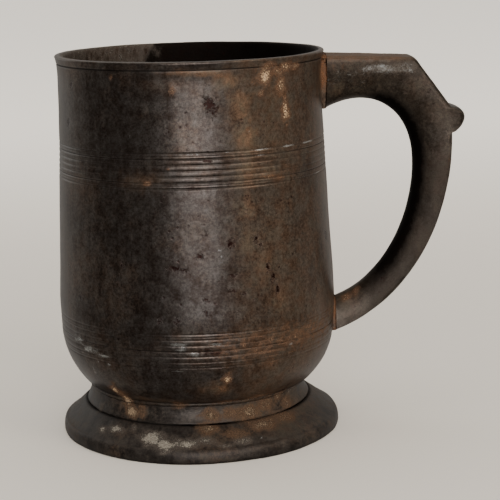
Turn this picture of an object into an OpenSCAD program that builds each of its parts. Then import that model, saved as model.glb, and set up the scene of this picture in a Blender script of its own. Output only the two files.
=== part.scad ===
// Pewter tankard: a tapered drum on a turned-in bowl, a collar and a spreading foot,
// with a hollow cast handle.
// +Z is up, the origin is on the tankard's axis at the table, and the handle points to +X.

/* [Drum] */
// Height of the rim above the table
rim_height = 125; // [121:1:132]
// Outer radius of the drum just under the lip
neck_radius = 42.8; // [42.4:0.1:43.2]
// Outer radius of the drum at its widest
belly_radius = 45.6; // [45.2:0.1:45.7]
// How far the lip stands out past the neck
lip_flare = 0.8; // [0.4:0.1:1.2]
// Wall thickness of the drum and the bowl
wall = 2; // [1.6:0.1:2.2]

/* [Reeding] */
// Number of grooves in each reeded band
groove_count = 7; // [5:2:7]
// Distance between two grooves
groove_pitch = 1.8; // [1.6:0.1:1.9]
// Depth of a groove
groove_depth = 0.35; // [0.2:0.05:0.5]
// Height of the middle of the upper band
upper_band_z = 92; // [80:1:100]

/* [Foot] */
// Outer radius of the foot where it meets the table
foot_radius = 46; // [45:0.5:50]
// Height at which the collar stands on the foot
foot_height = 10; // [9:0.5:10.5]
// Height of the joint between the collar and the bowl
waist_height = 17.2; // [16.8:0.1:17.6]
// Outer radius of the collar at its narrowest
collar_radius = 35.9; // [35.4:0.1:36.2]

/* [Handle] */
// Width of the handle's flat outer face at the top joint
handle_top_width = 15; // [12:0.5:17]
// Width of the handle's flat outer face at the bottom joint
handle_tip_width = 11; // [9:0.5:13]
// Wall thickness of the hollow handle
handle_wall = 2; // [1.6:0.1:2.4]

/* [Hidden] */
$fn = 96;

pewter = [0.30, 0.27, 0.24];
worn_pewter = [0.36, 0.34, 0.31];
solder_rust = [0.48, 0.29, 0.18];

// The body's outer shape: a taper from the neck to the belly, then an arc into the waist.
taper_top_z = 108;
taper_power = 1.05;
belly_z = 45;
belly_drop = 0.25;
turn_in_z = 36;
turn_in_arc = 26;
groove_half = 0.35;
groove_span = (groove_count - 1) * groove_pitch / 2;
lower_band_z = 36.1;
seam_z = lower_band_z;
lip_start_z = rim_height - 9;
rim_round = 0.6;

// The lap joint between drum and bowl, and its ring of solder.
seam_inner_r = body_r(seam_z) - wall;
seam_mid_r = seam_inner_r + wall / 2;
spigot_height = 3;
seam_solder_height = 0.8;
lap_relief_z = seam_z + spigot_height + seam_solder_height;

// The floor and its pocket in the bowl.
ledge_r = 31.6;
ledge_thickness = 1;
floor_r = 34.2;
floor_thickness = 1.8;
floor_z = waist_height + ledge_thickness;
pocket_bottom_r = floor_r + 0.2;
pocket_top_r = pocket_bottom_r + 1.6;

// The collar and the foot.
bead_radius = 0.65;
bead_z = waist_height - bead_radius;
collar_bore_r = 33.2;
spigot_r = 34.6;
spigot_drop = 3.2;
collar_foot_r = collar_radius + 1.3;
foot_edge_z = 1.6;
foot_slope_end = [foot_radius - 1.4, 4.4];
foot_lip_r = collar_radius + 1.8;
foot_wall = 2.2;
ground_ring_r = foot_radius - 2.8;
flange_under_z = foot_height - foot_wall;
fillet_leg = 1.3;

// The handle's side view: an outer line with an elbow and a thumb nub, and an inner line.
joint_x = 44.8;
lower_joint_x = 46.3;
handle_top_z = rim_height - 2.2;
elbow = [71.6, rim_height - 3.4];
bevel_end = [74.3, rim_height - 5.7];
nub_start = [84.5, 105.2];
nub_out = [4.4, 0.3];
nub_end = [85, 96.7];
tip_outer = [lower_joint_x, 31.4];
tip_inner = [lower_joint_x, 42.2];
arch_split = [72.6, 85];
outer_bend = [nub_end, [84.3, 60], [64.6, 38], tip_outer];
arch_top = [[joint_x, 105.6], [59.2, 113.3], [73.6, 104.6], arch_split];
arch_foot = [arch_split, [72, 69], [63, 49.3], tip_inner];
section_sides = 12;
section_power = 2.6;

function mix(a, b, t) = a + (b - a) * t;
function bezier(c, t) =
    pow(1 - t, 3) * c[0] + 3 * pow(1 - t, 2) * t * c[1]
    + 3 * (1 - t) * t * t * c[2] + pow(t, 3) * c[3];

function taper_r(z) =
    mix(neck_radius, belly_radius, pow(max(0, taper_top_z - z) / (taper_top_z - belly_z), taper_power));
function belly_r(z) =
    belly_radius - belly_drop * (1 - cos(90 * (belly_z - z) / (belly_z - turn_in_z)));
function turn_in_r(z) =
    belly_radius - belly_drop - turn_in_arc + sqrt(pow(turn_in_arc, 2) - pow(turn_in_z - z, 2));
function body_r(z) = z >= belly_z ? taper_r(z) : z >= turn_in_z ? belly_r(z) : turn_in_r(z);
function lip_r(z) = taper_r(z) + lip_flare * pow((z - lip_start_z) / (rim_height - lip_start_z), 3);

// Outline points of the wall, on the outside or offset inwards, from one height to another.
function wall_line(z0, z1, steps, inset = 0) =
    [for (i = [0:steps]) let (z = mix(z0, z1, i / steps)) [body_r(z) - inset, z]];
function groove(z) = [
    [body_r(z - groove_half), z - groove_half],
    [body_r(z) - groove_depth, z],
    [body_r(z + groove_half), z + groove_half]
];
function band(middle, first, last) =
    [for (i = [first:last]) each groove(middle + i * groove_pitch)];

module turned(outline) {
    rotate_extrude($fn = 180)
        polygon(outline);
}

// ---- Body ----

module drum() {
    half = (groove_count - 1) / 2;
    clear = groove_span + 1;
    outside = concat(
        [[body_r(seam_z) - groove_depth, seam_z], [body_r(seam_z + groove_half), seam_z + groove_half]],
        band(lower_band_z, 1, half),
        wall_line(lower_band_z + clear, upper_band_z - clear, 14),
        band(upper_band_z, -half, half),
        wall_line(upper_band_z + clear, lip_start_z, 5)
    );
    lip = [for (i = [1:6])
        let (z = mix(lip_start_z, rim_height - rim_round, i / 6)) [lip_r(z), z]];
    rim = [
        [lip_r(rim_height) - rim_round, rim_height],
        [neck_radius - wall + rim_round, rim_height],
        [neck_radius - wall, rim_height - rim_round]
    ];
    inside = wall_line(lip_start_z, lap_relief_z + 4, 14, wall);
    lap = [
        [seam_inner_r, lap_relief_z],
        [seam_mid_r, lap_relief_z],
        [seam_mid_r, seam_z]
    ];
    color(pewter)
        turned(concat(outside, lip, rim, inside, lap));
}

module bowl() {
    half = (groove_count - 1) / 2;
    clear = groove_span + 1;
    outside = concat(
        wall_line(waist_height, lower_band_z - clear, 9),
        band(lower_band_z, -half, -1),
        [[body_r(seam_z - groove_half), seam_z - groove_half], [body_r(seam_z) - groove_depth, seam_z]]
    );
    lap = [
        [seam_mid_r, seam_z],
        [seam_mid_r, seam_z + spigot_height],
        [seam_inner_r, seam_z + spigot_height],
        [seam_inner_r, seam_z - 2]
    ];
    inside = [for (i = [0:6])
        let (z = mix(seam_z - 4, floor_z + floor_thickness + 1.5, i / 6))
        [body_r(z) - wall * mix(1, 1.3, i / 6), z]];
    pocket = [
        [pocket_top_r, floor_z + floor_thickness],
        [pocket_bottom_r, floor_z],
        [ledge_r, floor_z],
        [ledge_r, waist_height]
    ];
    color(pewter)
        turned(concat(outside, lap, inside, pocket));
}

module drum_seam_solder() {
    low = seam_z + spigot_height;
    color(solder_rust)
        turned([
            [seam_inner_r, low],
            [seam_mid_r, low],
            [seam_mid_r, lap_relief_z],
            [seam_inner_r, lap_relief_z]
        ]);
}

// ---- Floor ----

module base_plate() {
    color(worn_pewter)
        translate([0, 0, floor_z])
            cylinder(r = floor_r, h = floor_thickness, $fn = 180);
}

module base_plate_solder() {
    top = floor_z + floor_thickness;
    color(solder_rust)
        turned([
            [floor_r, floor_z],
            [pocket_bottom_r, floor_z],
            [pocket_top_r, top],
            [floor_r, top]
        ]);
}

// ---- Foot ----

module foot_collar() {
    bead = [for (a = [-80:20:80])
        [collar_radius + bead_radius * cos(a), bead_z + bead_radius * sin(a)]];
    neck_z = bead_z - bead_radius;
    neck = [for (i = [0:5])
        let (t = i / 5) [mix(collar_foot_r, collar_radius - 0.2, 1 - pow(1 - t, 2)),
            mix(foot_height + 0.4, neck_z - 0.3, t)]];
    color(worn_pewter)
        turned(concat(
            [[spigot_r, foot_height - spigot_drop], [spigot_r, foot_height]],
            [[collar_foot_r - 0.4, foot_height]],
            neck,
            bead,
            [[collar_bore_r, waist_height], [collar_bore_r, foot_height - spigot_drop]]
        ));
}

module collar_solder() {
    color(solder_rust)
        turned([
            [collar_bore_r - fillet_leg, waist_height],
            [collar_bore_r, waist_height - fillet_leg],
            [collar_bore_r, waist_height]
        ]);
}

module foot_flange() {
    edge = [for (a = [0:15:75])
        [mix(foot_slope_end[0], foot_radius, cos(a)), mix(foot_edge_z, foot_slope_end[1], sin(a))]];
    top = [
        foot_slope_end,
        [foot_lip_r + 0.6, foot_height - 0.1],
        [foot_lip_r, foot_height],
        [spigot_r, foot_height]
    ];
    under = [
        [spigot_r, flange_under_z],
        [spigot_r + fillet_leg, flange_under_z - fillet_leg * 0.8],
        [foot_slope_end[0] - 1.6, 2.6],
        [ground_ring_r + 0.4, 0]
    ];
    color(pewter)
        turned(concat([[foot_radius - 0.3, 0], [foot_radius, 0.4]], edge, top, under));
}

module foot_solder() {
    low = flange_under_z - fillet_leg * 0.8;
    color(solder_rust)
        turned([
            [spigot_r, low],
            [spigot_r + fillet_leg, low],
            [spigot_r, flange_under_z]
        ]);
}

// ---- Handle ----

// One D-shaped section between an outer and an inner point of the side view.
// Its flat edge is the given share of the full width.
function d_section(outer, inner, half_width, flat_share) = [
    for (i = [0:section_sides])
        let (
            across = cos(180 * i / section_sides),
            depth = pow(1 - pow(abs(across), section_power), 1 / section_power),
            side = half_width * mix(flat_share, 1, min(1, 2.5 * depth))
        )
        [mix(outer[0], inner[0], depth), side * across, mix(outer[1], inner[1], depth)]
];

// Where each section stands: outer point, inner point, half width and flat share.
nub_steps = 8;
bend_steps = 16;
elbow_t = 0.19;
bevel_t = 0.215;
nub_start_t = 0.3;
nub_end_t = 0.38;
function station_inner(t) = t < 0.45 ? bezier(arch_top, t / 0.45) : bezier(arch_foot, (t - 0.45) / 0.55);
function half_width(t) = mix(handle_top_width, handle_tip_width, t) / 2;
stations = concat(
    [for (t = [0, 0.25, 0.5, 0.75, 1])
        [mix([joint_x, handle_top_z], elbow, t), station_inner(elbow_t * t), half_width(elbow_t * t), 1]],
    [for (t = [0, 0.33, 0.66, 1])
        [
            mix(bevel_end, nub_start, t),
            station_inner(mix(bevel_t, nub_start_t, t)),
            half_width(mix(bevel_t, nub_start_t, t)),
            1
        ]],
    [for (i = [1:nub_steps - 1])
        let (t = i / nub_steps, bulge = sqrt(sin(180 * t)))
        [
            mix(nub_start, nub_end, t) + bulge * nub_out,
            station_inner(mix(nub_start_t, nub_end_t, t)),
            half_width(nub_start_t),
            1 - 0.4 * bulge
        ]],
    [for (i = [0:bend_steps])
        let (t = i / bend_steps)
        [
            bezier(outer_bend, t),
            station_inner(mix(nub_end_t, 1, t)),
            half_width(mix(nub_end_t, 1, t)),
            1
        ]]
);

function inset_outer(s) = s[0] + handle_wall * (s[1] - s[0]) / norm(s[1] - s[0]);
function inset_inner(s) = s[1] - handle_wall * (s[1] - s[0]) / norm(s[1] - s[0]);

module handle() {
    ring = section_sides + 1;
    last = len(stations) - 1;
    outside = [for (s = stations) each d_section(s[0], s[1], s[2], s[3])];
    hollow = [for (s = stations)
        each d_section(inset_outer(s), inset_inner(s), s[2] - handle_wall, s[3])];
    inner_from = len(outside);
    skin = [for (k = [0:last - 1], i = [0:section_sides])
        let (j = (i + 1) % ring, a = k * ring + i, b = k * ring + j)
        each [[a, b, b + ring], [a, b + ring, a + ring]]];
    cavity = [for (f = skin) [f[2] + inner_from, f[1] + inner_from, f[0] + inner_from]];
    start_cap = [for (i = [0:section_sides])
        let (j = (i + 1) % ring)
        each [[i, inner_from + i, inner_from + j], [i, inner_from + j, j]]];
    end_cap = [for (f = start_cap) [f[2] + last * ring, f[1] + last * ring, f[0] + last * ring]];
    color(worn_pewter)
        polyhedron(concat(outside, hollow), concat(skin, cavity, start_cap, end_cap));
}

// A plug of solder between the curved wall and the flat end of the handle.
module joint_solder(low_z, high_z, width, face_x) {
    difference() {
        translate([body_r(high_z) - 4, 0, 0])
            rotate([90, 0, 90])
                linear_extrude(face_x - body_r(high_z) + 4)
                    intersection() {
                        translate([-width / 2, low_z])
                            square([width, high_z - low_z]);
                        translate([0, high_z])
                            scale([width / 2, high_z - low_z])
                                circle(1.12);
                    }
        turned(concat(
            [[0, low_z - 5]],
            wall_line(low_z - 5, min(high_z + 5, rim_height), 12),
            [[0, min(high_z + 5, rim_height)]]
        ));
    }
}

module upper_handle_solder() {
    color(solder_rust)
        joint_solder(arch_top[0][1] - 0.4, handle_top_z + 0.3, handle_top_width + 1, joint_x);
}

module lower_handle_solder() {
    color(solder_rust)
        joint_solder(tip_outer[1] - 0.3, tip_inner[1] + 0.3, handle_tip_width + 0.8, lower_joint_x);
}

drum();
bowl();
drum_seam_solder();
base_plate();
base_plate_solder();
foot_collar();
collar_solder();
foot_flange();
foot_solder();
handle();
upper_handle_solder();
lower_handle_solder();
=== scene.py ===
import bpy
import bmesh
import math
import numpy as np
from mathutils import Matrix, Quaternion, Vector, noise


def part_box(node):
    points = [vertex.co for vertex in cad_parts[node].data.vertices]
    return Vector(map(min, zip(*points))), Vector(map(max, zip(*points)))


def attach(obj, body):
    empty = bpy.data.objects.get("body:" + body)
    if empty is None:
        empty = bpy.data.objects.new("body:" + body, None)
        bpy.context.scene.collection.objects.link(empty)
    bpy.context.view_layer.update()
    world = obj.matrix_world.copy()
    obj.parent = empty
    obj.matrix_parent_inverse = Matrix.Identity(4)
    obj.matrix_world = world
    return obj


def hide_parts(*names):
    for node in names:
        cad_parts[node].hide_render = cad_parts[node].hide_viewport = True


# Old pewter tankard: every visible piece is rebuilt with real wear and stands for its CAD node.
# Lengths are in millimetres and mm makes them metres; the lights and the shelf are in metres.

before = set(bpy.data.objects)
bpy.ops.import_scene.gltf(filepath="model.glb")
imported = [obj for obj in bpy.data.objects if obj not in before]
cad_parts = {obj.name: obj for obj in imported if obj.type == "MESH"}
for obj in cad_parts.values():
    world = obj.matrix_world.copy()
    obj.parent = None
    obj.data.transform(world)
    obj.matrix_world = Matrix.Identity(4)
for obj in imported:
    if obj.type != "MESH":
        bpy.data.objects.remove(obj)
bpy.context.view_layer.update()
mm = 0.001


def corners(node):
    low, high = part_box(node)
    return low / mm, high / mm


drumLow, drumHigh = corners("drum")
collarLow, collarHigh = corners("foot_collar")
floorLow, floorHigh = corners("base_plate")
flangeHigh = corners("foot_flange")[1]

rimZ = drumHigh.z
seamZ = drumLow.z
waistZ = corners("bowl")[0].z
footTopZ = flangeHigh.z
footRadius = flangeHigh.x


def addObject(name, data):
    added = bpy.data.objects.new(name, data)
    bpy.context.scene.collection.objects.link(added)
    return added


view = {
    "distance": 524.6,     # from the axis, mm
    "height": 164.7,
    "pitch": 11.44,        # looking down, degrees
    "yaw": 1.99,
    "roll": -1.39,
    "lens": 115.6,
}


def makeCamera():
    data = bpy.data.cameras.new("camera")
    data.lens = view["lens"]
    data.sensor_width = 36
    data.clip_start = 0.01
    camera = addObject("camera", data)
    pitch, yaw = math.radians(view["pitch"]), math.radians(view["yaw"])
    forward = Vector((math.sin(yaw) * math.cos(pitch), math.cos(yaw) * math.cos(pitch), -math.sin(pitch)))
    turn = forward.to_track_quat("-Z", "Y") @ Quaternion((0, 0, 1), math.radians(view["roll"]))
    camera.rotation_mode = "QUATERNION"
    camera.rotation_quaternion = turn
    camera.location = (0, -view["distance"] * mm, view["height"] * mm)
    bpy.context.scene.camera = camera


lights = [
    # name, place, size, watts, colour
    ("windowFront", (0.085, -1.35, 0.36), (0.80, 0.75), 11.2, (0.98, 0.98, 1.0)),
    ("windowLeft", (-1.25, 1.15, 0.55), (0.7, 1.1), 1.6, (0.90, 0.98, 1.0)),
    ("lampRight", (1.15, -0.95, 0.85), (0.6, 0.6), 7.0, (1.0, 0.90, 0.78)),
    ("ceiling", (0.0, 0.2, 1.7), (1.6, 1.6), 8.0, (1.0, 0.98, 0.94)),
]


def makeLights():
    aim = Vector((0, 0, 0.06))
    for name, place, size, watts, colour in lights:
        data = bpy.data.lights.new(name, "AREA")
        data.shape = "RECTANGLE"
        data.size, data.size_y = size
        data.energy = watts
        data.color = colour
        lamp = addObject(name, data)
        lamp.location = place
        lamp.rotation_mode = "QUATERNION"
        lamp.rotation_quaternion = (aim - Vector(place)).to_track_quat("-Z", "Y")


room = {"seen": 1.3, "fill": 0.62, "dim": 0.02, "wallBehind": 0.42, "above": 0.22, "below": 0.07}


def makeWorld():
    # the camera sees a pale wall; the metal reflects that wall behind it and a dim room in front
    world = bpy.data.worlds.new("paleRoom")
    bpy.context.scene.world = world
    world.use_nodes = True
    tree = world.node_tree
    background = tree.nodes["Background"]
    background.inputs["Color"].default_value = (0.92, 0.88, 0.82, 1)
    path = tree.nodes.new("ShaderNodeLightPath")
    place = tree.nodes.new("ShaderNodeTexCoord")
    axes = tree.nodes.new("ShaderNodeSeparateXYZ")
    tree.links.new(place.outputs["Generated"], axes.inputs["Vector"])
    behind = rampOf(tree, axes.outputs["Y"], -0.1, 0.55, 0.0, room["wallBehind"])
    above = rampOf(tree, axes.outputs["Z"], 0.2, 0.9, 0.0, room["above"])
    below = rampOf(tree, axes.outputs["Z"], -0.05, -0.6, 0.0, room["below"])
    mirrored = mathOf(tree, "ADD", mathOf(tree, "ADD", behind, above),
                      mathOf(tree, "ADD", below, room["dim"]))
    strength = mixOf(tree, path.outputs["Is Camera Ray"], room["fill"], room["seen"])
    strength = mixOf(tree, path.outputs["Is Glossy Ray"], strength, mirrored)
    tree.links.new(strength, background.inputs["Strength"])


def addNode(tree, kind, values=None, **settings):
    node = tree.nodes.new(kind)
    for name, value in settings.items():
        setattr(node, name, value)
    for name, value in (values or {}).items():
        node.inputs[name].default_value = value
    return node


def newGroup(name, inputs, outputs):
    # each socket is given as its label and kind (Vector, Color or Float), an input with its value too
    group = bpy.data.node_groups.new(name, "ShaderNodeTree")
    for label, kind, value in inputs:
        socket = group.interface.new_socket(label, in_out="INPUT", socket_type="NodeSocket" + kind)
        if value is not None:
            socket.default_value = value
    for label, kind in outputs:
        group.interface.new_socket(label, in_out="OUTPUT", socket_type="NodeSocket" + kind)
    return group, group.nodes.new("NodeGroupInput"), group.nodes.new("NodeGroupOutput")


def noiseAt(tree, vector, scale, detail=4.0, roughness=0.55, stretch=None):
    source = vector
    if stretch:
        mapping = addNode(tree, "ShaderNodeMapping", {"Scale": stretch})
        tree.links.new(vector, mapping.inputs["Vector"])
        source = mapping.outputs["Vector"]
    node = addNode(tree, "ShaderNodeTexNoise",
                   {"Scale": scale, "Detail": detail, "Roughness": roughness})
    tree.links.new(source, node.inputs["Vector"])
    return node.outputs["Fac"]


def rampOf(tree, value, low, high, toLow=0.0, toHigh=1.0):
    node = addNode(tree, "ShaderNodeMapRange",
                   {"From Min": low, "From Max": high, "To Min": toLow, "To Max": toHigh},
                   interpolation_type="SMOOTHSTEP")
    tree.links.new(value, node.inputs["Value"])
    return node.outputs["Result"]


def mathOf(tree, operation, first, second=0.5, clamp=False):
    node = addNode(tree, "ShaderNodeMath", operation=operation, use_clamp=clamp)
    for socket, value in zip(node.inputs, (first, second)):
        if isinstance(value, (int, float)):
            socket.default_value = value
        else:
            tree.links.new(value, socket)
    return node.outputs["Value"]


def mixOf(tree, factor, first, second):
    node = addNode(tree, "ShaderNodeMix", data_type="FLOAT")
    for socket, value in zip((node.inputs[0], node.inputs[2], node.inputs[3]), (factor, first, second)):
        if isinstance(value, (int, float)):
            socket.default_value = value
        else:
            tree.links.new(value, socket)
    return node.outputs[0]


def sumOf(tree, *terms):
    # values added up, each with its weight
    total = None
    for value, weight in terms:
        part = mathOf(tree, "MULTIPLY", value, weight)
        total = part if total is None else mathOf(tree, "ADD", total, part)
    return total


def swingOf(tree, value, weight):
    # a noise centred on nought
    return mathOf(tree, "MULTIPLY", mathOf(tree, "SUBTRACT", value, 0.5), weight)


def blendOf(tree, factor, first, second, mode="MIX"):
    node = addNode(tree, "ShaderNodeMix", data_type="RGBA", blend_type=mode)
    for socket, value in zip((node.inputs[0], node.inputs[6], node.inputs[7]), (factor, first, second)):
        if isinstance(value, (int, float, tuple)):
            socket.default_value = value
        else:
            tree.links.new(value, socket)
    return node.outputs[2]


def makePatina():
    # grey tin oxide, finely mottled, with brown areas that creep over it
    group, inside, outside = newGroup(
        "patina",
        [("Vector", "Vector", None), ("Dark", "Color", (0.02, 0.015, 0.012, 1)),
         ("Grey", "Color", (0.1, 0.09, 0.08, 1)),
         ("Brown", "Color", (0.07, 0.04, 0.025, 1)),
         ("Brown Amount", "Float", 0.4), ("Stain", "Float", 0.0),
         ("GrimeAndShade", "Float", 0.0)],
        [("Color", "Color"), ("Roughness", "Float"), ("Height", "Float"),
         ("Brownness", "Float"), ("DirtAndShade", "Float")])
    vector = inside.outputs["Vector"]
    cloud = noiseAt(group, vector, 0.045, 6, 0.62)
    patch = noiseAt(group, vector, 0.28, 6, 0.62)
    speck = noiseAt(group, vector, 1.1, 5, 0.7)
    grit = noiseAt(group, vector, 2.6, 3, 0.6)
    runs = noiseAt(group, vector, 0.4, 4, 0.6, (1, 1, 0.14))
    grain = noiseAt(group, vector, 1.0, 3, 0.6, (0.10, 0.10, 3.0))
    tone = rampOf(group, sumOf(group, (patch, 0.55), (speck, 0.2), (runs, 0.25)), 0.34, 0.66)
    base = blendOf(group, tone, inside.outputs["Dark"], inside.outputs["Grey"])
    spread = sumOf(group, (cloud, 0.55), (runs, 0.15), (speck, 0.3))
    natural = mathOf(group, "MULTIPLY", rampOf(group, spread, 0.46, 0.62), inside.outputs["Brown Amount"])
    marked = mathOf(group, "MULTIPLY", inside.outputs["Stain"], rampOf(group, spread, 0.34, 0.56, 0.45, 1.0))
    brown = mathOf(group, "MAXIMUM", natural, marked, True)
    cool = blendOf(group, 1.0, inside.outputs["Brown"], (0.72, 0.86, 0.80, 1), "MULTIPLY")
    hue = blendOf(group, rampOf(group, patch, 0.4, 0.62), inside.outputs["Brown"], cool)
    color = blendOf(group, mathOf(group, "MULTIPLY", brown, 0.9), base, hue)
    shade = rampOf(group, sumOf(group, (speck, 0.6), (grit, 0.4)), 0.36, 0.64)
    shade = blendOf(group, shade, (0.72, 0.69, 0.65, 1), (1.28, 1.28, 1.26, 1))
    color = blendOf(group, 1.0, color, shade, "MULTIPLY")
    # the grime input darkens the colour for dirt and for painted shade alike
    dirtAndShade = mathOf(group, "ADD", inside.outputs["GrimeAndShade"], swingOf(group, speck, 0.5))
    dirtAndShade = rampOf(group, dirtAndShade, 0.08, 0.8)
    color = blendOf(group, mathOf(group, "MULTIPLY", dirtAndShade, 0.9), color, (0.006, 0.004, 0.003, 1))
    rough = rampOf(group, patch, 0.3, 0.7, 0.29, 0.36)
    rough = mathOf(group, "ADD", rough, mathOf(group, "MULTIPLY", brown, 0.16))
    rough = mathOf(group, "ADD", rough, swingOf(group, speck, 0.10))
    rough = mathOf(group, "ADD", rough, mathOf(group, "MULTIPLY", dirtAndShade, 0.35), True)
    height = sumOf(group, (speck, 0.45), (patch, 0.5), (grain, 0.2), (grit, 0.12))
    for value, name in ((color, "Color"), (rough, "Roughness"), (height, "Height"),
                        (brown, "Brownness"), (dirtAndShade, "DirtAndShade")):
        group.links.new(value, outside.inputs[name])
    return group


def makeCrust():
    # a rusty bloom with grainy mineral crumbs sitting in it
    group, inside, outside = newGroup(
        "crustDeposit",
        [("Vector", "Vector", None), ("Amount", "Float", 0.0),
         ("Pale", "Color", (0.5, 0.36, 0.22, 1)),
         ("Rust", "Color", (0.2, 0.08, 0.03, 1))],
        [("Mask", "Float"), ("Color", "Color"), ("Height", "Float")])
    vector = inside.outputs["Vector"]
    amount = inside.outputs["Amount"]
    crumbs = noiseAt(group, vector, 1.8, 5, 0.80)
    grit = noiseAt(group, vector, 3.6, 3, 0.6)
    bloom = rampOf(group, mathOf(group, "ADD", amount, swingOf(group, crumbs, 1.1)), 0.05, 0.6, 0.0, 0.75)
    bloom = mathOf(group, "MULTIPLY", bloom, rampOf(group, amount, 0.01, 0.18))
    crumbEdge = mathOf(group, "ADD", mathOf(group, "MULTIPLY", amount, 0.5), crumbs)
    crumb = rampOf(group, crumbEdge, 0.80, 0.97)
    crumb = mathOf(group, "MULTIPLY", crumb, rampOf(group, amount, 0.08, 0.3))
    color = blendOf(group, crumb, inside.outputs["Rust"], inside.outputs["Pale"])
    shade = blendOf(group, rampOf(group, grit, 0.35, 0.65), (0.45, 0.42, 0.40, 1), (1.3, 1.3, 1.3, 1))
    color = blendOf(group, 1.0, color, shade, "MULTIPLY")
    mask = mathOf(group, "MAXIMUM", bloom, crumb, True)
    for value, name in ((mask, "Mask"), (color, "Color"), (crumb, "Height")):
        group.links.new(value, outside.inputs[name])
    return group


def makePits():
    # dark corroded blotches and pinholes, where the tin has been eaten away
    group, inside, outside = newGroup(
        "corrosionPits",
        [("Vector", "Vector", None), ("Amount", "Float", 0.0),
         ("Spread", "Float", 0.3)],
        [("Mask", "Float")])
    vector = inside.outputs["Vector"]
    ragged = noiseAt(group, vector, 0.9, 6, 0.78)
    marked = mathOf(group, "ADD", inside.outputs["Amount"], swingOf(group, ragged, 2.8))
    marked = rampOf(group, marked, 0.26, 0.80)
    marked = mathOf(group, "MULTIPLY", marked, rampOf(group, inside.outputs["Amount"], 0.02, 0.3))
    cells = addNode(group, "ShaderNodeTexVoronoi", {"Scale": 0.42, "Randomness": 1.0})
    group.links.new(vector, cells.inputs["Vector"])
    distance = mathOf(group, "ADD", cells.outputs["Distance"], swingOf(group, ragged, 0.5))
    dots = rampOf(group, distance, 0.24, 0.08)
    where = rampOf(group, noiseAt(group, vector, 0.11, 3, 0.5), 0.50, 0.60)
    dots = mathOf(group, "MULTIPLY", mathOf(group, "MULTIPLY", dots, where), inside.outputs["Spread"])
    group.links.new(mathOf(group, "MAXIMUM", marked, dots, True), outside.inputs["Mask"])
    return group


def makeWear():
    # bright metal where hands and shelves have rubbed the oxide off, and painted highlight on the handle
    group, inside, outside = newGroup(
        "edgeWear",
        [("Vector", "Vector", None), ("Amount", "Float", 0.0)],
        [("Mask", "Float")])
    fleck = noiseAt(group, inside.outputs["Vector"], 2.1, 5, 0.78)
    smear = noiseAt(group, inside.outputs["Vector"], 0.35, 4, 0.6, (1, 1, 2.2))
    edge = sumOf(group, (fleck, 0.6), (smear, 0.4), (inside.outputs["Amount"], 0.5))
    mask = rampOf(group, edge, 0.74, 0.98)
    mask = mathOf(group, "MULTIPLY", mask, rampOf(group, inside.outputs["Amount"], 0.03, 0.3))
    group.links.new(mask, outside.inputs["Mask"])
    return group


groups = {"patina": makePatina(), "crust": makeCrust(), "pits": makePits(), "wearAndSheen": makeWear()}


# how far each kind of mark stands proud or sunk, in mm
reliefOf = {"crust": 0.26, "stain": 0.02, "pit": -0.06, "wearAndSheen": -0.02, "grimeAndShade": 0, "scale": 0.25}

finishes = {
    "bodyPewter": {
        "dark": (0.043, 0.030, 0.024, 1), "grey": (0.094, 0.083, 0.077, 1), "brown": (0.165, 0.088, 0.043, 1),
        "brownAmount": 0.20, "metal": 0.84, "pitSpread": 0.7, "bump": 0.030, "duller": 0.0,
        "pale": (0.46, 0.31, 0.18, 1), "rust": (0.125, 0.056, 0.022, 1)},
    "footPewter": {
        "dark": (0.022, 0.017, 0.014, 1), "grey": (0.066, 0.055, 0.048, 1), "brown": (0.085, 0.050, 0.029, 1),
        "brownAmount": 0.75, "metal": 0.66, "pitSpread": 0.6, "bump": 0.055, "duller": 0.12,
        "pale": (0.24, 0.165, 0.10, 1), "rust": (0.115, 0.058, 0.025, 1)},
    "handlePewter": {
        "dark": (0.030, 0.022, 0.016, 1), "grey": (0.066, 0.053, 0.042, 1), "brown": (0.090, 0.052, 0.029, 1),
        "brownAmount": 0.5, "metal": 0.80, "pitSpread": 0.5, "bump": 0.030, "duller": 0.03,
        "pale": (0.34, 0.22, 0.13, 1), "rust": (0.13, 0.058, 0.024, 1)},
    "insidePewter": {
        "dark": (0.030, 0.026, 0.023, 1), "grey": (0.070, 0.062, 0.054, 1), "brown": (0.055, 0.038, 0.026, 1),
        "brownAmount": 0.7, "metal": 0.35, "pitSpread": 0.8, "bump": 0.10, "duller": 0.1,
        "pale": (0.25, 0.21, 0.17, 1), "rust": (0.10, 0.05, 0.025, 1)},
    "greySolder": {
        "dark": (0.06, 0.056, 0.052, 1), "grey": (0.14, 0.132, 0.122, 1), "brown": (0.08, 0.052, 0.034, 1),
        "brownAmount": 0.5, "metal": 0.6, "pitSpread": 0.4, "bump": 0.10, "duller": 0.1,
        "pale": (0.25, 0.21, 0.17, 1), "rust": (0.10, 0.05, 0.025, 1)},
    "rustySolder": {
        "dark": (0.050, 0.032, 0.022, 1), "grey": (0.165, 0.125, 0.092, 1), "brown": (0.110, 0.046, 0.018, 1),
        "brownAmount": 0.3, "metal": 0.2, "pitSpread": 0.8, "bump": 0.10, "duller": 0.15,
        "pale": (0.30, 0.17, 0.10, 1), "rust": (0.15, 0.060, 0.022, 1)},
}


def placeGroup(tree, name, vector, amount=None, **values):
    node = tree.nodes.new("ShaderNodeGroup")
    node.node_tree = groups[name]
    tree.links.new(vector, node.inputs["Vector"])
    if amount is not None:
        tree.links.new(amount, node.inputs["Stain" if name == "patina" else "Amount"])
    for label, value in values.items():
        node.inputs[label].default_value = value
    return node


shared = {
    "bareMetal": (0.42, 0.42, 0.40, 1), "pit": (0.022, 0.007, 0.0055, 1),
    "scalePale": (0.23, 0.205, 0.165, 1), "scaleRust": (0.085, 0.066, 0.050, 1),
    "crumbRelief": 0.14, "pitRelief": 0.05,
}


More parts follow.
